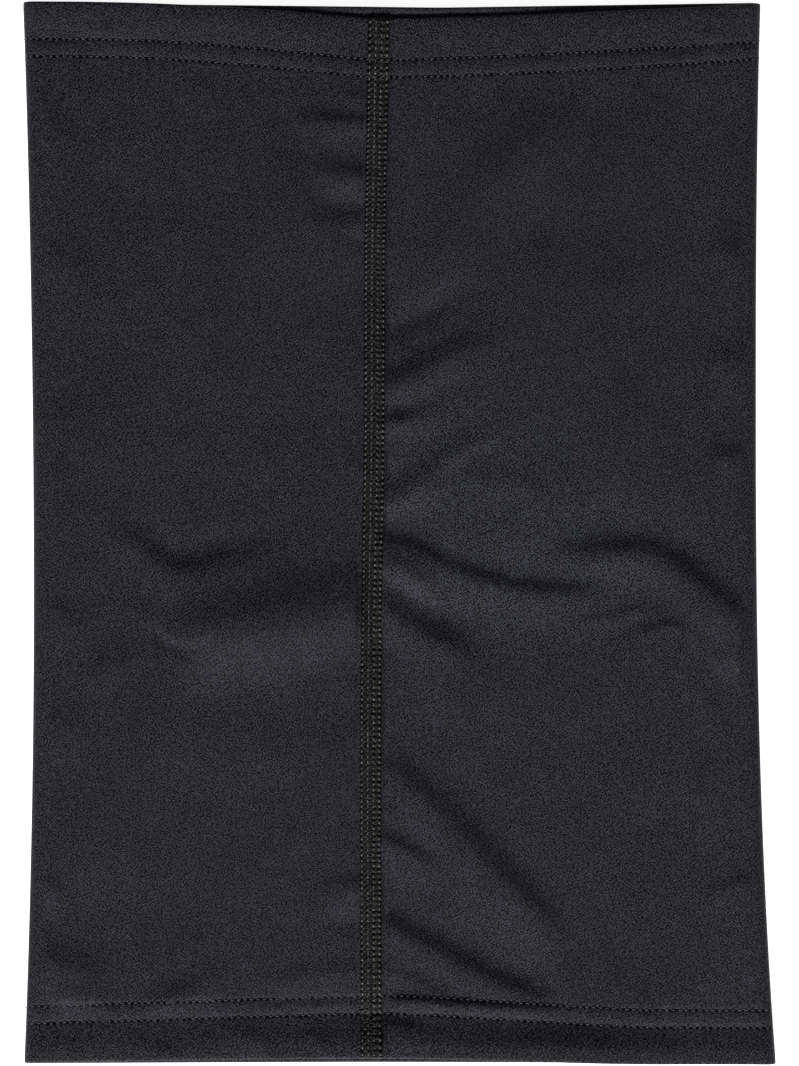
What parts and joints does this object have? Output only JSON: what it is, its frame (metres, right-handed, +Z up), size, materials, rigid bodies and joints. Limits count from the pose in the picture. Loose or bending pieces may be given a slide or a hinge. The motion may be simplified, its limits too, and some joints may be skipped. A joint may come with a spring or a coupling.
{
  "type": "neck gaiter",
  "caption": "Black stretch-jersey neck gaiter: an open knitted tube with a flatlock seam down the front and coverstitched hems, lying flat",
  "frame": {"origin": "on the surface the tube lies on, under the middle of the tube as it lies flat", "axes": "+X across the tube, +Y along the tube from the bottom hem to the top hem, +Z up from the surface through the back layer and then the front layer"},
  "size_m": [0.2429, 0.3428, 0.0087],
  "materials": {
    "jersey": "fine black polyester and elastane stretch jersey with a soft low sheen",
    "thread": "black textured polyester sewing thread, slightly greener and shinier than the cloth"
  },
  "bodies": {
    "root": {"fabric_panel": "jersey", "flatlock_needle_thread_1": "thread", "flatlock_needle_thread_2": "thread", "flatlock_needle_thread_3": "thread", "flatlock_needle_thread_4": "thread", "flatlock_cover_thread": "thread", "flatlock_looper_thread": "thread", "top_hem_needle_thread_1": "thread", "top_hem_needle_thread_2": "thread", "top_hem_looper_thread": "thread", "bottom_hem_needle_thread_1": "thread", "bottom_hem_needle_thread_2": "thread", "bottom_hem_looper_thread": "thread"}
  },
  "joints": []
}
